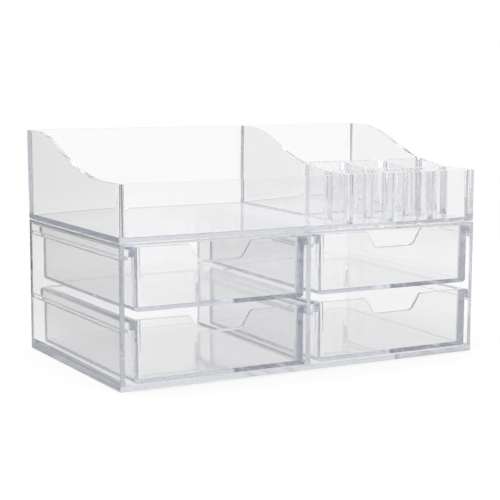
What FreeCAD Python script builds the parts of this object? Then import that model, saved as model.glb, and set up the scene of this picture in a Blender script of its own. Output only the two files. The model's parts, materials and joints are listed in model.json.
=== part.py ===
import FreeCAD, Part
import math
import os
import re
import Sketcher
from FreeCAD import Vector

# Clear moulded make-up organizer: a two-bay drawer case, four drawers that hang by their
# ears on the case's rails, and a lift-off top tray with an S-curved rim, one large
# compartment, one behind the slots, and six lipstick slots.
# Frame: millimetres, +Z up, drawers open towards -Y. The origin is the centre of the
# case's footprint, on its underside.

os.makedirs("parts", exist_ok=True)
doc = FreeCAD.newDocument("MakeupOrganizer")

# ------------------------------------------------------------------ driving dimensions
SIZES = {
    # drawer case
    "caseWidth": 240.0,
    "caseDepth": 139.0,
    "caseWall": 2.8,
    "partition": 2.8,
    "caseBack": 2.8,
    "caseFloor": 3.2,
    "caseCorner": 1.5,
    "deck": 1.2,
    "deckFillet": 2.0,
    "bayFillet": 3.0,
    "railWidth": 2.2,
    "railThickness": 2.1,
    "railRound": 0.5,
    # drawers
    "drawerHeight": 35.4,
    "drawerLength": 134.5,
    "drawerSide": 2.8,
    "drawerFront": 3.4,
    "drawerRear": 3.2,
    "drawerBase": 2.2,
    "drawerHeel": 2.2,
    "drawerTail": 4.0,
    "drawerCorner": 2.4,
    "earWidth": 2.85,
    "earHeight": 5.2,
    "earRound": 2.0,
    "earTail": 5.0,
    "notchTop": 37.0,
    "notchBottom": 23.0,
    "notchDepth": 9.8,
    "notchRound": 4.0,
    "notchLip": 3.0,
    # fits between the case and the drawers, and where each drawer stands at rest
    "sideClearance": 1.45,
    "restClearance": 0.1,
    "headClearance": 0.3,
    "floorClearance": 1.4,
    "tierClearance": 4.6,
    "leftProud": 3.5,
    "rightProud": 2.0,
    # top tray
    "trayFloor": 2.1,
    "trayWall": 3.3,
    "trayBack": 2.8,
    "trayBackLean": 1.4,
    "trayEdge": 1.0,
    "trayCorner": 3.5,
    "trayCove": 0.8,
    "rimFront": 31.8,
    "rimBack": 54.8,
    "rimFlatFront": 20.0,
    "rimFlatBack": 12.4,
    "rimHollow": 170.0,
    "slotWidth": 26.4,
    "slotDepth": 23.4,
    "divider": 3.0,
    # low feet that hold the tray off the case
    "footHeight": 0.7,
    "footLength": 5.0,
    "footWidth": 2.5,
    "footInset": 1.6,
    "footFront": 8.2,
    "footMiddle": 54.3,
    "footRear": 8.2,
    # draft of the drawers' insides and the tray's two large compartments, in degrees
    "draft": 1.0,
}

TOLERANCE = 1e-3  # mm, for finding an edge by its place
SMALLEST_CUT = 1.0  # mm3, what a pocket must take away
UPRIGHT_SHARE = 0.99  # rise over length of an edge that counts as upright

sheet = doc.addObject("Spreadsheet::Sheet", "Sizes")
for row, (alias, value) in enumerate(SIZES.items(), start=1):
    sheet.set(f"A{row}", str(value))
    sheet.setAlias(f"A{row}", alias)
doc.recompute()

# Places that several pieces share, as formulas of the driving dimensions.
BAY_WIDTH = "((caseWidth - 2 * caseWall - partition) / 2)"
BAY_CENTRE = f"(({BAY_WIDTH} + partition) / 2)"
LOWER_SEAT = "(caseFloor + floorClearance)"
UPPER_SEAT = f"({LOWER_SEAT} + drawerHeight + tierClearance)"
DECK_UNDERSIDE = f"({UPPER_SEAT} + drawerHeight + headClearance)"
CASE_HEIGHT = f"({DECK_UNDERSIDE} + deck)"
EAR_SPAN = f"({BAY_WIDTH} - 2 * sideClearance)"
BODY_SPAN = f"({EAR_SPAN} - 2 * earWidth)"
TRAY_UNDERSIDE = f"({CASE_HEIGHT} + restClearance + footHeight)"
TRAY_FLOOR_TOP = f"({TRAY_UNDERSIDE} + trayFloor)"
SLOT_PITCH = "(slotWidth + divider)"
SLOTS_LEFT = "(caseWidth / 2 - trayWall - 3 * slotWidth - 2 * divider)"
SLOT_ROWS_BACK = "(-caseDepth / 2 + trayWall + 2 * slotDepth + divider)"


def formula(text):
    """The same formula with every size written as its cell in the sheet."""
    return re.sub(r"[A-Za-z]\w*", lambda word: "Sizes." + word.group() if word.group() in SIZES
                  else word.group(), text)


def size(text):
    """The value of a formula, in millimetres."""
    return float(sheet.evalExpression(formula(text).replace("Sizes.", "")))


def originPlane(body, role):
    return next(plane for plane in body.Origin.OriginFeatures if plane.Role == role)


def newSketch(body, name, role, offset="0"):
    """A sketch on one of the body's origin planes, moved along the plane's normal."""
    sketch = body.newObject("Sketcher::SketchObject", name)
    sketch.AttachmentSupport = [(originPlane(body, role), "")]
    sketch.MapMode = "FlatFace"
    if offset != "0":
        sketch.setExpression("AttachmentOffset.Base.z", formula(offset))
    return sketch


def place(sketch, edge, end, along, text):
    """Ties one end of an edge to the sketch's origin by a distance along x or y."""
    value = size(text)
    if abs(value) < 1e-9:
        axis = -2 if along == "x" else -1
        sketch.addConstraint(Sketcher.Constraint("PointOnObject", edge, end, axis))
        return
    kind = "DistanceX" if along == "x" else "DistanceY"
    index = sketch.addConstraint(Sketcher.Constraint(kind, -1, 1, edge, end, value))
    sketch.setExpression(f"Constraints[{index}]", formula(text))


def closedOutline(sketch, corners):
    """A closed outline through corners of (x, y, rounding radius or None), all formulas."""
    first = sketch.GeometryCount
    count = len(corners)
    points = [Vector(size(x), size(y), 0) for x, y, radius in corners]
    for i in range(count):
        sketch.addGeometry(Part.LineSegment(points[i], points[(i + 1) % count]), False)
    for i in range(count):
        sketch.addConstraint(Sketcher.Constraint("Coincident", first + i, 2, first + (i + 1) % count, 1))
    for i, (x, y, radius) in enumerate(corners):
        before = corners[i - 1]
        if i > 0 and x == before[0]:
            sketch.addConstraint(Sketcher.Constraint("Vertical", first + i - 1))
        else:
            place(sketch, first + i, 1, "x", x)
        if i > 0 and y == before[1]:
            sketch.addConstraint(Sketcher.Constraint("Horizontal", first + i - 1))
        else:
            place(sketch, first + i, 1, "y", y)
    for i, (x, y, radius) in enumerate(corners):
        if radius is None:
            continue
        incoming = first + (i - 1) % count
        arc = sketch.GeometryCount
        sketch.fillet(incoming, 2, size(radius), True, True)
        index = sketch.addConstraint(Sketcher.Constraint("Radius", arc, size(radius)))
        sketch.setExpression(f"Constraints[{index}]", formula(radius))


def boxOutline(sketch, left, right, front, back, radius=None):
    corners = [(left, front, radius), (right, front, radius), (right, back, radius), (left, back, radius)]
    closedOutline(sketch, corners)


def pad(body, sketch, length, reverse=False, midplane=False):
    feature = body.newObject("PartDesign::Pad", sketch.Name + "Pad")
    feature.Profile = sketch
    feature.setExpression("Length", formula(length))
    feature.Reversed = reverse
    feature.Midplane = midplane
    sketch.Visibility = False
    doc.recompute()
    return feature


def pocket(body, sketch, length, reverse=False, draft=None):
    """Cuts a pocket and makes sure that it points into the solid."""
    before = body.Shape.Volume
    feature = body.newObject("PartDesign::Pocket", sketch.Name + "Pocket")
    feature.Profile = sketch
    feature.setExpression("Length", formula(length))
    feature.Reversed = reverse
    if draft:
        feature.setExpression("TaperAngle", formula(draft))
    sketch.Visibility = False
    doc.recompute()
    if feature.Shape.Volume > before - SMALLEST_CUT:
        raise RuntimeError(feature.Name + " cuts nothing")
    return feature


def fillet(body, name, base, radius, wanted):
    """Rounds the edges of the base feature that the test wants."""
    edges = [f"Edge{i}" for i, edge in enumerate(base.Shape.Edges, start=1) if wanted(edge)]
    if not edges:
        raise RuntimeError(name + " finds no edge")
    feature = body.newObject("PartDesign::Fillet", name)
    feature.Base = (base, edges)
    feature.setExpression("Radius", formula(radius))
    doc.recompute()
    return feature


def near(value, target):
    return abs(value - target) < TOLERANCE


def isUpright(edge, foot=None):
    """Straight and as good as upright, and rising from the foot's height if one is given."""
    if len(edge.Vertexes) != 2:
        return False
    first, second = (vertex.Point for vertex in edge.Vertexes)
    if foot is not None and not near(min(first.z, second.z), foot):
        return False
    return abs(second.z - first.z) > UPRIGHT_SHARE * edge.Length


def isLevelAt(edge, height):
    box = edge.BoundBox
    return near(box.ZMin, height) and near(box.ZMax, height)


# ------------------------------------------------------------------ drawer case
def railSteps(wallX, railX, upwards):
    """The outline's corners along one wall of a bay, round the lower and the upper rail."""
    steps = []
    for seat in (LOWER_SEAT, UPPER_SEAT):
        top = f"({seat} + drawerHeight - earHeight - restClearance)"
        bottom = f"({top} - railThickness)"
        steps += [(wallX, bottom, None), (railX, bottom, "railRound")]
        steps += [(railX, top, "railRound"), (wallX, top, None)]
    return steps if upwards else steps[::-1]


def drawerCase():
    body = doc.addObject("PartDesign::Body", "drawer_case")
    frontPlane = "caseDepth / 2"
    shell = newSketch(body, "CaseOutline", "XZ_Plane", frontPlane)
    boxOutline(shell, "-caseWidth / 2", "caseWidth / 2", "0", CASE_HEIGHT)
    block = pad(body, shell, "caseDepth", reverse=True)

    rearY = size("caseDepth / 2")
    fillet(body, "CaseRearCorners", block, "caseCorner",
           lambda edge: isUpright(edge) and near(edge.CenterOfMass.y, rearY))

    # One bay with its four rails is cut from the front, then mirrored.
    wallX = "(-caseWidth / 2 + caseWall)"
    midX = "(-partition / 2)"
    bay = newSketch(body, "Bay", "XZ_Plane", frontPlane)
    corners = [(wallX, "caseFloor", "bayFillet"), (midX, "caseFloor", "bayFillet")]
    corners += railSteps(midX, f"({midX} - railWidth)", True)
    corners += [(midX, DECK_UNDERSIDE, "deckFillet"), (wallX, DECK_UNDERSIDE, "deckFillet")]
    corners += railSteps(wallX, f"({wallX} + railWidth)", False)
    closedOutline(bay, corners)
    bayPocket = pocket(body, bay, "caseDepth - caseBack")

    mirrored = body.newObject("PartDesign::Mirrored", "SecondBay")
    mirrored.Originals = [bayPocket]
    mirrored.MirrorPlane = (originPlane(body, "YZ_Plane"), [""])
    body.Tip = mirrored
    doc.recompute()
    return body


# ------------------------------------------------------------------ drawers
def drawer(label, centreX, seat, proud):
    """One drawer, modelled with its front face on XZ and its underside on XY."""
    body = doc.addObject("PartDesign::Body", label)
    half = f"({BODY_SPAN} / 2)"
    halfEars = f"({EAR_SPAN} / 2)"
    earUnderside = "(drawerHeight - earHeight)"
    front = newSketch(body, label + "Outline", "XZ_Plane")
    closedOutline(front, [
        (f"-{half}", "0", None), (half, "0", None),
        (half, earUnderside, None), (halfEars, earUnderside, None),
        (halfEars, "drawerHeight", None), (f"-{halfEars}", "drawerHeight", None),
        (f"-{halfEars}", earUnderside, None), (f"-{half}", earUnderside, None)])
    block = pad(body, front, "drawerLength", reverse=True)

    # The rear corners are rounded in plan, the ears' more than the body's, and the bottom
    # edge is rounded along both sides and round the back.
    length = size("drawerLength")
    earX = size(halfEars)
    tail = fillet(body, label + "Tail", block, "drawerTail", lambda edge: isUpright(edge)
                  and near(edge.CenterOfMass.y, length) and not near(abs(edge.CenterOfMass.x), earX))
    earTail = fillet(body, label + "EarTail", tail, "earTail", lambda edge: isUpright(edge)
                     and near(edge.CenterOfMass.y, length) and near(abs(edge.CenterOfMass.x), earX))
    fillet(body, label + "Heel", earTail, "drawerHeel",
           lambda edge: isLevelAt(edge, 0) and not near(edge.BoundBox.YMax, 0))

    # The inside of the drawer, with draft and rounded corners.
    inside = newSketch(body, label + "Inside", "XY_Plane", "drawerBase")
    boxOutline(inside, f"(-{half} + drawerSide)", f"({half} - drawerSide)",
               "drawerFront", "(drawerLength - drawerRear)")
    hollow = pocket(body, inside, "drawerHeight", reverse=True, draft="draft")
    base = size("drawerBase")
    outside = size(half)
    corners = fillet(body, label + "Corners", hollow, "drawerCorner", lambda edge: isUpright(edge, base)
                     and not near(abs(edge.CenterOfMass.x), outside))

    # The ears' top edge is rounded along both sides and round the back.
    top = size("drawerHeight")
    rearY = size("drawerLength - drawerRear / 2")
    fillet(body, label + "EarRound", corners, "earRound", lambda edge: isLevelAt(edge, top)
           and (edge.BoundBox.XMax < -outside or edge.BoundBox.XMin > outside
                or edge.BoundBox.YMin > rearY))

    # The finger notch is cut through the front wall.
    lip = "(notchTop / 2 + notchLip)"
    lowest = "(drawerHeight - notchDepth)"
    over = "(drawerHeight + notchLip)"
    notch = newSketch(body, label + "Notch", "XZ_Plane")
    closedOutline(notch, [
        ("-notchBottom / 2", lowest, "notchRound"), ("notchBottom / 2", lowest, "notchRound"),
        ("notchTop / 2", "drawerHeight", "notchLip"), (lip, "drawerHeight", None),
        (lip, over, None), (f"-{lip}", over, None),
        (f"-{lip}", "drawerHeight", None), ("-notchTop / 2", "drawerHeight", "notchLip")])
    pocket(body, notch, "drawerFront + drawerCorner")

    body.setExpression("Placement.Base.x", formula(centreX))
    body.setExpression("Placement.Base.y", formula(f"-caseDepth / 2 - {proud}"))
    body.setExpression("Placement.Base.z", formula(seat))
    doc.recompute()
    return body


# ------------------------------------------------------------------ top tray
def trayProfile(body):
    """The tray seen from its side: flat, hollow arc, crown arc, flat, and a leaning back."""
    sketch = newSketch(body, "TrayProfile", "YZ_Plane")
    front = size("-caseDepth / 2")
    back = size("caseDepth / 2")
    lean = size("trayBackLean")
    bottom = size(TRAY_UNDERSIDE)
    low = bottom + size("rimFront")
    high = bottom + size("rimBack")
    curveStart = front + size("rimFlatFront")
    curveEnd = back + lean - size("rimFlatBack")
    # Two arcs that meet on a common tangent turn by the same angle.
    turn = 2 * math.atan2(high - low, curveEnd - curveStart)
    hollowRadius = size("rimHollow")
    crownRadius = (curveEnd - curveStart) / math.sin(turn) - hollowRadius
    up = Vector(0, 0, 1)
    hollow = Part.Circle(Vector(curveStart, low + hollowRadius, 0), up, hollowRadius)
    crown = Part.Circle(Vector(curveEnd, high - crownRadius, 0), up, crownRadius)
    quarter = math.pi / 2
    line = Part.LineSegment
    sketch.addGeometry([
        line(Vector(front, bottom, 0), Vector(back, bottom, 0)),
        line(Vector(back, bottom, 0), Vector(back + lean, high, 0)),
        line(Vector(back + lean, high, 0), Vector(curveEnd, high, 0)),
        Part.ArcOfCircle(crown, quarter, quarter + turn),
        Part.ArcOfCircle(hollow, -quarter, -quarter + turn),
        line(Vector(curveStart, low, 0), Vector(front, low, 0)),
        line(Vector(front, low, 0), Vector(front, bottom, 0))], False)
    rules = [("Coincident", 0, 2, 1, 1), ("Coincident", 1, 2, 2, 1), ("Tangent", 2, 2, 3, 1),
             ("Tangent", 3, 2, 4, 2), ("Tangent", 4, 1, 5, 1), ("Coincident", 5, 2, 6, 1),
             ("Coincident", 6, 2, 0, 1), ("Horizontal", 0), ("Horizontal", 2), ("Horizontal", 5),
             ("Vertical", 6)]
    for rule in rules:
        sketch.addConstraint(Sketcher.Constraint(*rule))
    place(sketch, 0, 1, "x", "-caseDepth / 2")
    place(sketch, 0, 1, "y", TRAY_UNDERSIDE)
    place(sketch, 1, 1, "x", "caseDepth / 2")
    place(sketch, 1, 2, "x", "caseDepth / 2 + trayBackLean")
    place(sketch, 1, 2, "y", f"{TRAY_UNDERSIDE} + rimBack")
    place(sketch, 2, 2, "x", "caseDepth / 2 + trayBackLean - rimFlatBack")
    place(sketch, 5, 1, "x", "-caseDepth / 2 + rimFlatFront")
    place(sketch, 5, 1, "y", f"{TRAY_UNDERSIDE} + rimFront")
    index = sketch.addConstraint(Sketcher.Constraint("Radius", 4, hollowRadius))
    sketch.setExpression(f"Constraints[{index}]", formula("rimHollow"))
    return sketch


def hollowOut(body, name, *sides, draft=None):
    """A hollow of the tray, open at the top, with rounded upright corners."""
    sketch = newSketch(body, name, "XY_Plane", TRAY_FLOOR_TOP)
    boxOutline(sketch, *sides, "trayCorner")
    return pocket(body, sketch, "rimBack", reverse=True, draft=draft)


def topTray():
    body = doc.addObject("PartDesign::Body", "top_tray")
    block = pad(body, trayProfile(body), "caseWidth", midplane=True)

    # The feet stand under both side edges.
    feet = newSketch(body, "Feet", "XY_Plane", TRAY_UNDERSIDE)
    outer = "(-caseWidth / 2 + footInset)"
    starts = ("-caseDepth / 2 + footFront", "-caseDepth / 2 + footMiddle",
              "caseDepth / 2 - footRear - footLength")
    for start in starts:
        boxOutline(feet, outer, f"({outer} + footWidth)", f"({start})", f"({start} + footLength)")
    fillet(body, "TrayEdges", block, "trayEdge", isUpright)
    footPad = pad(body, feet, "footHeight", reverse=True)
    mirrored = body.newObject("PartDesign::Mirrored", "OtherFeet")
    mirrored.Originals = [footPad]
    mirrored.MirrorPlane = (originPlane(body, "YZ_Plane"), [""])
    body.Tip = mirrored
    doc.recompute()

    # The large compartment, and the one behind the slots, with a cove along their floors.
    leftWall = "(-caseWidth / 2 + trayWall)"
    rightWall = "(caseWidth / 2 - trayWall)"
    frontWall = "(-caseDepth / 2 + trayWall)"
    backWall = "(caseDepth / 2 - trayBack)"
    hollowOut(body, "LargeCompartment", leftWall, f"({SLOTS_LEFT} - divider)", frontWall, backWall,
              draft="draft")
    rear = hollowOut(body, "RearCompartment", SLOTS_LEFT, rightWall, f"({SLOT_ROWS_BACK} + divider)",
                     backWall, draft="draft")
    floorTop = size(TRAY_FLOOR_TOP)
    fillet(body, "TrayCoves", rear, "trayCove", lambda edge: isLevelAt(edge, floorTop))

    # Two rows of three slots: the left slot of a row is cut, then repeated along X.
    for row, start in (("Front", frontWall), ("Rear", f"({frontWall} + slotDepth + divider)")):
        slot = hollowOut(body, row + "Slot", SLOTS_LEFT, f"({SLOTS_LEFT} + slotWidth)",
                         start, f"({start} + slotDepth)")
        slots = body.newObject("PartDesign::LinearPattern", row + "Slots")
        slots.Originals = [slot]
        slots.Direction = (next(axis for axis in body.Origin.OriginFeatures if axis.Role == "X_Axis"), [""])
        slots.setExpression("Length", formula(f"2 * {SLOT_PITCH}"))
        slots.Occurrences = 3
        body.Tip = slots
        doc.recompute()
    return body


# ------------------------------------------------------------------ build and write
drawerCase()
topTray()
for side, sign, proud in (("left", "-", "leftProud"), ("right", "", "rightProud")):
    for tier, seat in (("upper", UPPER_SEAT), ("lower", LOWER_SEAT)):
        drawer(f"{tier}_{side}_drawer", sign + BAY_CENTRE, seat, proud)
doc.recompute()

for item in doc.Objects:
    if "Invalid" in item.State or "Error" in item.State:
        raise RuntimeError(f"{item.Name} failed: {item.State}")

bodies = [item for item in doc.Objects if item.TypeId == "PartDesign::Body"]
for body in bodies:
    if body.Shape.isNull() or not body.Shape.isValid() or len(body.Shape.Solids) != 1:
        raise RuntimeError(f"{body.Label} is not one valid solid")
for body in bodies:
    body.Shape.exportStep(f"parts/{body.Label}.step")
    print(body.Label, round(body.Shape.Volume), "mm3", body.Shape.BoundBox)
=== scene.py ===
import json
import math

import bmesh
import bpy
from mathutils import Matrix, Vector

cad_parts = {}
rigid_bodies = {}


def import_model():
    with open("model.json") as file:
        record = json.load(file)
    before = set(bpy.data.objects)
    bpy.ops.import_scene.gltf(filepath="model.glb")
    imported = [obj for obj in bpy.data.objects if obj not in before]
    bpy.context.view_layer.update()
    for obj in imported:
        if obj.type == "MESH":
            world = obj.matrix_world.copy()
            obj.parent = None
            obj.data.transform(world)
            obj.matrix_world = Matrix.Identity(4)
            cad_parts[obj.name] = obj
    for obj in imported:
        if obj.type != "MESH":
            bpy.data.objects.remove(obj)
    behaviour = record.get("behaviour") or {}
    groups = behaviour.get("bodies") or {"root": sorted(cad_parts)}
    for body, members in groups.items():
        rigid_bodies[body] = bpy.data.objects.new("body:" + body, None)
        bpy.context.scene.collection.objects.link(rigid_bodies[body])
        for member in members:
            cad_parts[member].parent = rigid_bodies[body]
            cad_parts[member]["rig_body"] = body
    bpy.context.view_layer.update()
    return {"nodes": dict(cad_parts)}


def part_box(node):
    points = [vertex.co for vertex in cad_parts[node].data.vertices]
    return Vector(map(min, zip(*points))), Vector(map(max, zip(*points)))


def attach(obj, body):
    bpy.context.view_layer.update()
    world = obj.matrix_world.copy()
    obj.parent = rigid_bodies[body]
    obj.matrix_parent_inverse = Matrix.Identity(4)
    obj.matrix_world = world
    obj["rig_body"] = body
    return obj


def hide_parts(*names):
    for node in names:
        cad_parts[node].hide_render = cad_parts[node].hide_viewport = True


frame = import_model()
scene = bpy.context.scene
print("stage: frame loaded,", len(frame["nodes"]), "solids")


# ---- shader nodes

class Value:
    # one output of a node, on which sums and products add Math nodes
    def __init__(self, maker, socket):
        self.maker = maker
        self.socket = socket

    def mathNode(self, operation, first, second):
        return self.maker.add("ShaderNodeMath", {"operation": operation}, {0: first, 1: second})

    def __add__(self, other):
        return self.mathNode("ADD", self, other)

    __radd__ = __add__

    def __sub__(self, other):
        return self.mathNode("SUBTRACT", self, other)

    def __rsub__(self, other):
        return self.mathNode("SUBTRACT", other, self)

    def __mul__(self, other):
        return self.mathNode("MULTIPLY", self, other)

    __rmul__ = __mul__

    def __truediv__(self, other):
        return self.mathNode("DIVIDE", self, other)

    def __rtruediv__(self, other):
        return self.mathNode("DIVIDE", other, self)

    def __gt__(self, other):
        return self.mathNode("GREATER_THAN", self, other)

    def __lt__(self, other):
        return self.mathNode("LESS_THAN", self, other)

    def atMost(self, other):
        return self.mathNode("MINIMUM", self, other)

    def atLeast(self, other):
        return self.mathNode("MAXIMUM", self, other)


class NodeMaker:
    def __init__(self, tree):
        self.tree = tree
        tree.nodes.clear()

    def add(self, kind, settings=None, inputs=None, out=0):
        # a node with its settings, and the values or links of its sockets
        node = self.tree.nodes.new(kind)
        for name, value in (settings or {}).items():
            setattr(node, name, value)
        for key, value in (inputs or {}).items():
            target = node.inputs[key]
            if isinstance(value, Value):
                self.tree.links.new(value.socket, target)
            else:
                target.default_value = value
        if not len(node.outputs):
            return node
        return Value(self, node.outputs[out])

    def mixColour(self, factor, first, second):
        return self.add("ShaderNodeMix", {"data_type": "RGBA"},
                        {0: factor, 6: first, 7: second}, out=2)

    def stretch(self, value, low, high, kind="LINEAR"):
        # 0 at low, 1 at high and clamped outside
        return self.add("ShaderNodeMapRange", {"interpolation_type": kind},
                        {0: value, 1: low, 2: high, 3: 0.0, 4: 1.0})

    def axes(self, vector):
        split = self.add("ShaderNodeSeparateXYZ", None, {"Vector": vector}).socket.node
        return [Value(self, output) for output in split.outputs]


def newMaterial(name):
    material = bpy.data.materials.new(name)
    material.use_nodes = True
    return material, NodeMaker(material.node_tree)


# ---- clear moulded plastic

plasticLook = {
    "case": {"tint": (0.990, 0.990, 0.991, 1), "dusty": (0.982, 0.982, 0.984, 1),
             "gloss": 0.02, "haze": 0.05, "wave": 0.05,
             "absorbed": (0.70, 0.72, 0.77, 1), "density": 7.5},
    "tray": {"tint": (0.992, 0.992, 0.994, 1), "dusty": (0.984, 0.984, 0.987, 1),
             "gloss": 0.015, "haze": 0.04, "wave": 0.05,
             "absorbed": (0.70, 0.72, 0.77, 1), "density": 8.5},
    "drawer": {"tint": (0.985, 0.985, 0.986, 1), "dusty": (0.975, 0.975, 0.977, 1),
               "gloss": 0.03, "haze": 0.06, "wave": 0.05,
               "absorbed": (0.70, 0.72, 0.78, 1), "density": 9.0},
}
grain = {
    "cloudScale": 22.0, "cloudFrom": 0.35, "cloudTo": 0.7, "cloudShare": 0.5,
    "speckScale": 900.0, "speckFrom": 0.55, "speckTo": 0.75, "speckRough": 0.02,
    "flowScale": 9.0, "flowDepth": 0.002,  # the slow waves that the melt leaves in a face
}
refraction = 1.49  # of clear acrylic


def insideBox(maker, place, low, high):
    paintedShadeMask = 1.0
    for along, start, end in zip(maker.axes(place), low, high):
        paintedShadeMask = paintedShadeMask * (along > start) * (along < end)
    return paintedShadeMask


def clearPlastic(name, look, paintedShadeEdges):
    material, maker = newMaterial(name)
    place = maker.add("ShaderNodeTexCoord", out=3)

    def noise(scale, detail):
        return maker.add("ShaderNodeTexNoise", None,
                         {"Vector": place, "Scale": scale, "Detail": detail})

    cloudy = maker.stretch(noise(grain["cloudScale"], 3.0), grain["cloudFrom"], grain["cloudTo"])
    specky = maker.stretch(noise(grain["speckScale"], 2.0), grain["speckFrom"], grain["speckTo"])
    colour = maker.mixColour(cloudy, look["tint"], look["dusty"])
    # painted shade: faces inside each edge box take that box's darker tint
    for edge in paintedShadeEdges:
        paintedShadeMask = insideBox(maker, place, edge["low"], edge["high"])
        colour = maker.mixColour(paintedShadeMask, colour, edge["tint"])
    hazy = (look["haze"] - look["gloss"]) * cloudy * grain["cloudShare"]
    rough = look["gloss"] + hazy + grain["speckRough"] * specky
    bump = maker.add("ShaderNodeBump", None, {
        "Strength": look["wave"], "Distance": grain["flowDepth"],
        "Height": noise(grain["flowScale"], 1.0)})
    plastic = maker.add("ShaderNodeBsdfPrincipled", None, {
        "Base Color": colour, "Roughness": rough, "IOR": refraction,
        "Transmission Weight": 1.0, "Normal": bump})
    inside = maker.add("ShaderNodeVolumeAbsorption", None, {
        "Color": look["absorbed"], "Density": look["density"]})
    maker.add("ShaderNodeOutputMaterial", None, {"Surface": plastic, "Volume": inside})
    return material


# ---- pieces: each one stands for its solid, with its sharp edges eased as a mould leaves them
# each piece's edge boxes below hold narrow faces whose colour is darkened: painted shade for how
# light falls on the left side; the matching faces on the right get none

pieceLook = {
    "drawer_case": {
        "piece": "case_shell", "finish": "case", "edge": 0.0003, "steps": 2,
        # painted shade on the case's left front edge, the partition's front edge and the rear of
        # the left floor edge
        "paintedShadeEdges": [
            {"low": (-0.121, -0.071, 0.003), "high": (-0.1168, -0.0688, 0.082),
             "tint": (0.60, 0.61, 0.63, 1)},
            {"low": (-0.0016, -0.071, 0.003), "high": (0.0016, -0.0688, 0.082),
             "tint": (0.78, 0.79, 0.81, 1)},
            {"low": (-0.121, 0.030, -0.001), "high": (-0.1198, 0.072, 0.0034),
             "tint": (0.62, 0.63, 0.65, 1)}]},
    "top_tray": {
        "piece": "tray_shell", "finish": "tray", "edge": 0.0003, "steps": 2,
        # painted shade on the tray's left floor edge
        "paintedShadeEdges": [
            {"low": (-0.121, -0.071, 0.0822), "high": (-0.1198, 0.072, 0.0852),
             "tint": (0.60, 0.61, 0.64, 1)}]},
    "upper_left_drawer": {
        "piece": "upper_left_drawer_shell", "finish": "drawer", "edge": 0.0003, "steps": 2,
        # painted shade on the front face where the drawer's right wall meets it
        "paintedShadeEdges": [
            {"low": (-0.0088, -0.074, 0.0440), "high": (-0.0050, -0.0728, 0.0790),
             "tint": (0.62, 0.63, 0.66, 1)}]},
    "upper_right_drawer": {
        "piece": "upper_right_drawer_shell", "finish": "drawer", "edge": 0.0003, "steps": 2,
        "paintedShadeEdges": []},
    "lower_left_drawer": {
        "piece": "lower_left_drawer_shell", "finish": "drawer", "edge": 0.0003, "steps": 2,
        # painted shade on the front face where the drawer's right wall meets it
        "paintedShadeEdges": [
            {"low": (-0.0088, -0.074, 0.0040), "high": (-0.0050, -0.0728, 0.0390),
             "tint": (0.62, 0.63, 0.66, 1)}]},
    "lower_right_drawer": {
        "piece": "lower_right_drawer_shell", "finish": "drawer", "edge": 0.0003, "steps": 2,
        "paintedShadeEdges": []},
}
notchLook = {
    "depth": 0.0098, "reach": 0.0232, "wall": 0.005,  # where the notch lies in a drawer's front
    "topSpread": 1.04, "lowSpread": 1.15,             # how far its sides are drawn out
    "edge": 0.0010, "steps": 3,
}
smoothAngle = math.radians(32)   # sharper edges are eased and shaded as edges
flatAngle = math.radians(0.6)    # flatter ones join into one face
longEdge = 0.003                 # shorter edges stay as they are
mergeDistance = 0.00002
slack = 0.00005                  # for finding a point by its place
levelDigits = 5                  # points this alike in height, in metres, lie at one level
alongFace, acrossFace = 0.1, 0.9


def selectOnly(piece):
    bpy.ops.object.select_all(action="DESELECT")
    piece.select_set(True)
    bpy.context.view_layer.objects.active = piece


def chooseEdges(piece, wanted):
    bpy.ops.mesh.select_mode(type="EDGE")
    bpy.ops.mesh.select_all(action="DESELECT")
    mesh = bmesh.from_edit_mesh(piece.data)
    for edge in mesh.edges:
        if len(edge.link_faces) == 2 and wanted(edge):
            edge.select_set(True)
    bmesh.update_edit_mesh(piece.data)


def chooseCorners(piece, wanted):
    bpy.ops.mesh.select_mode(type="VERT")
    bpy.ops.mesh.select_all(action="DESELECT")
    mesh = bmesh.from_edit_mesh(piece.data)
    for corner in mesh.verts:
        if wanted(corner.co):
            corner.select_set(True)
    bmesh.update_edit_mesh(piece.data)


def isLongAndSharp(edge):
    return edge.calc_face_angle(0) > smoothAngle and edge.calc_length() > longEdge


def shapeNotch(piece, nodeName):
    # the notch's sides are drawn out level by level, and its rim is rounded
    low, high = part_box(nodeName)
    middle = (low.x + high.x) / 2
    floor = high.z - notchLook["depth"]

    def inNotch(place):
        return (place.z > floor - slack and place.y < low.y + notchLook["wall"]
                and abs(place.x - middle) < notchLook["reach"])

    def onNotchRim(edge):
        across = sorted(abs(face.normal.y) for face in edge.link_faces)
        return (across[0] < alongFace and across[1] > acrossFace
                and all(inNotch(corner.co) for corner in edge.verts))

    corners = bmesh.from_edit_mesh(piece.data).verts
    levels = sorted({round(corner.co.z, levelDigits) for corner in corners if inNotch(corner.co)})
    for level in levels:
        share = (level - floor) / notchLook["depth"]
        spread = notchLook["lowSpread"] + share * (notchLook["topSpread"] - notchLook["lowSpread"])
        chooseCorners(piece, lambda place: inNotch(place) and round(place.z, levelDigits) == level)
        bpy.ops.transform.resize(value=(spread, 1, 1), center_override=(middle, low.y, level))
    chooseEdges(piece, onNotchRim)
    bpy.ops.mesh.bevel(offset=notchLook["edge"], segments=notchLook["steps"], affect="EDGES")


def pressInside(piece, nodeName):
    # a corner that the easing pushed out goes back to the solid's front or top
    low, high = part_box(nodeName)
    chooseCorners(piece, lambda place: place.y < low.y)
    bpy.ops.transform.resize(value=(1, 0, 1), center_override=(0, low.y, 0))
    chooseCorners(piece, lambda place: place.z > high.z)
    bpy.ops.transform.resize(value=(1, 1, 0), center_override=(0, 0, high.z))


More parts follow.
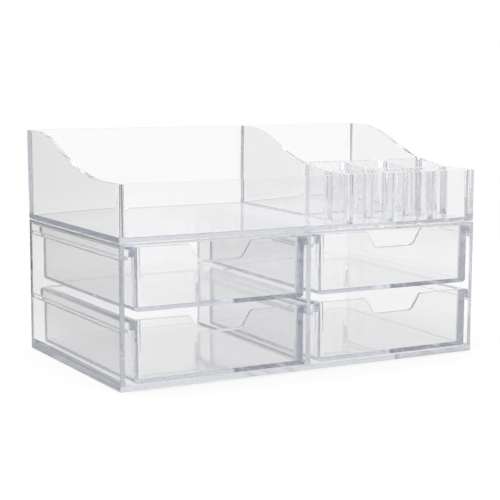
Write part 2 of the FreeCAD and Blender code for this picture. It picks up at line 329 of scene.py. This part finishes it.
def easedCopy(nodeName, look):
    piece = bpy.data.objects.new(look["piece"], frame["nodes"][nodeName].data.copy())
    scene.collection.objects.link(piece)
    selectOnly(piece)
    bpy.ops.object.mode_set(mode="EDIT")
    bpy.ops.mesh.select_all(action="SELECT")
    bpy.ops.mesh.remove_doubles(threshold=mergeDistance)
    bpy.ops.mesh.dissolve_limited(angle_limit=flatAngle)
    if nodeName.endswith("drawer"):
        shapeNotch(piece, nodeName)
    chooseEdges(piece, isLongAndSharp)
    bpy.ops.mesh.bevel(offset=look["edge"], segments=look["steps"], affect="EDGES")
    pressInside(piece, nodeName)
    bpy.ops.object.mode_set(mode="OBJECT")
    bpy.ops.object.shade_smooth_by_angle(angle=smoothAngle)
    flats = piece.modifiers.new("FlatNormals", "WEIGHTED_NORMAL")
    flats.mode = "FACE_AREA"
    flats.weight = 100
    flats.keep_sharp = True
    bpy.ops.object.modifier_apply(modifier="FlatNormals")
    return piece


for nodeName, look in pieceLook.items():
    material = clearPlastic(look["piece"] + "_plastic", plasticLook[look["finish"]],
                            look["paintedShadeEdges"])
    node = frame["nodes"][nodeName]
    piece = easedCopy(nodeName, look)
    for shown in (piece, node):
        shown.data.materials.clear()
        shown.data.materials.append(material)
    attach(piece, node["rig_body"])
    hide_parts(nodeName)
    print("stage:", look["piece"], len(piece.data.polygons), "faces")


# ---- studio

studio = {
    "tableGrey": 0.2, "tableRadius": 0.6, "tableSides": 128, "tableHeight": -0.0002,
    "white": 1.0,        # the backdrop, seen straight or through clear plastic, and the upper room
    "dim": 0.32,         # what a first reflection meets low on the left
    "dimRight": 0.6,     # and low on the right
    "guidedLeft": 0.72,  # what light guided inside a wall meets on the left
    "guidedRight": 1.0,  # and on the right
    "leftFrom": 0.10, "leftTo": -0.25,             # sideways share of a direction, right to left
    "tableLeftFrom": -0.12, "tableLeftTo": -0.18,  # the same across the table, in metres
    "lowFrom": 0.06, "lowTo": -0.02,               # rise of a direction, upper room to lower
}
lamp = {"place": (-0.3, 0.1, 1.9), "target": (0, 0, 0.05), "power": 14.0, "size": 1.6}


def pathShares(maker):
    # straight: seen directly or through clear plastic; guided: rises with the reflections met;
    # lit: 0 for the light that falls on the table
    path = maker.add("ShaderNodeLightPath").socket.node
    camera, mirrored, through, reflections, scattered = (
        Value(maker, path.outputs[name]) for name in (
            "Is Camera Ray", "Is Glossy Ray", "Is Transmission Ray",
            "Glossy Depth", "Diffuse Depth"))
    lit = (camera + mirrored + through).atMost(1.0) * (1 - scattered.atMost(1.0))
    straight = lit * (1 - reflections.atMost(1.0))
    guided = ((reflections - 1) / 2).atLeast(0.0).atMost(1.0)
    return straight, guided, lit


def roomLevel(side, upper, straight, guided):
    low = studio["dim"] + side * (studio["dimRight"] - studio["dim"])
    near = low + upper * (studio["white"] - low)
    far = studio["guidedLeft"] + side * (studio["guidedRight"] - studio["guidedLeft"])
    room = near + guided * (far - near)
    return room + straight * (studio["white"] - room)


def whiteWorld():
    world = bpy.data.worlds.new("StudioRoom")
    scene.world = world
    world.use_nodes = True
    maker = NodeMaker(world.node_tree)
    across, along, up = maker.axes(maker.add("ShaderNodeTexCoord", out=0))
    side = maker.stretch(across, studio["leftTo"], studio["leftFrom"], "SMOOTHSTEP")
    upper = maker.stretch(up, studio["lowTo"], studio["lowFrom"], "SMOOTHSTEP")
    straight, guided, _ = pathShares(maker)
    strength = roomLevel(side, upper, straight, guided)
    background = maker.add("ShaderNodeBackground", None,
                           {"Color": (1, 1, 1, 1), "Strength": strength})
    maker.add("ShaderNodeOutputWorld", None, {"Surface": background})


def paleTable():
    bpy.ops.object.select_all(action="DESELECT")
    bpy.ops.mesh.primitive_circle_add(vertices=studio["tableSides"], radius=studio["tableRadius"],
                                      fill_type="NGON", location=(0, 0, studio["tableHeight"]))
    table = bpy.context.object
    table.name = "studio_table"
    material, maker = newMaterial("tableWhite")
    material.cycles.emission_sampling = "NONE"
    across, along, up = maker.axes(maker.add("ShaderNodeTexCoord", out=3))
    side = maker.stretch(across, studio["tableLeftTo"], studio["tableLeftFrom"], "SMOOTHSTEP")
    straight, guided, lit = pathShares(maker)
    level = roomLevel(side, 0.0, straight, guided)
    grey = studio["tableGrey"]
    diffuse = maker.add("ShaderNodeBsdfDiffuse", None, {"Color": (grey, grey, grey, 1)})
    glow = maker.add("ShaderNodeEmission", None,
                     {"Color": (1, 1, 1, 1), "Strength": lit * (level - grey)})
    both = maker.add("ShaderNodeAddShader", None, {0: diffuse, 1: glow})
    maker.add("ShaderNodeOutputMaterial", None, {"Surface": both})
    table.data.materials.append(material)
    bpy.ops.object.transform_apply(location=True, rotation=True, scale=True)


def softLamp(name, look):
    light = bpy.data.lights.new(name, "AREA")
    light.energy = look["power"]
    light.size = look["size"]
    lampObject = bpy.data.objects.new(name, light)
    lampObject.location = look["place"]
    beam = Vector(look["target"]) - Vector(look["place"])
    lampObject.rotation_euler = beam.to_track_quat("-Z", "Y").to_euler()
    scene.collection.objects.link(lampObject)


whiteWorld()
paleTable()
softLamp("overheadSoftbox", lamp)
print("stage: studio")


# ---- camera

cameraView = {
    "place": (-0.418153, -0.746855, 0.179199), "turn": (82.25801, -0.23991, -29.18938),
    "lens": 99.41116, "sensor": 36.0, "nearest": 0.01,
}
guidedBounces = 64  # light is guided a long way inside the walls

camera = bpy.data.cameras.new("Camera")
camera.lens = cameraView["lens"]
camera.sensor_width = cameraView["sensor"]
camera.clip_start = cameraView["nearest"]
cameraObject = bpy.data.objects.new("Camera", camera)
cameraObject.location = cameraView["place"]
cameraObject.rotation_euler = [math.radians(angle) for angle in cameraView["turn"]]
scene.collection.objects.link(cameraObject)
scene.camera = cameraObject

scene.view_settings.view_transform = "Standard"
scene.cycles.max_bounces = guidedBounces
scene.cycles.transmission_bounces = guidedBounces
scene.cycles.glossy_bounces = guidedBounces
print("stage: camera")
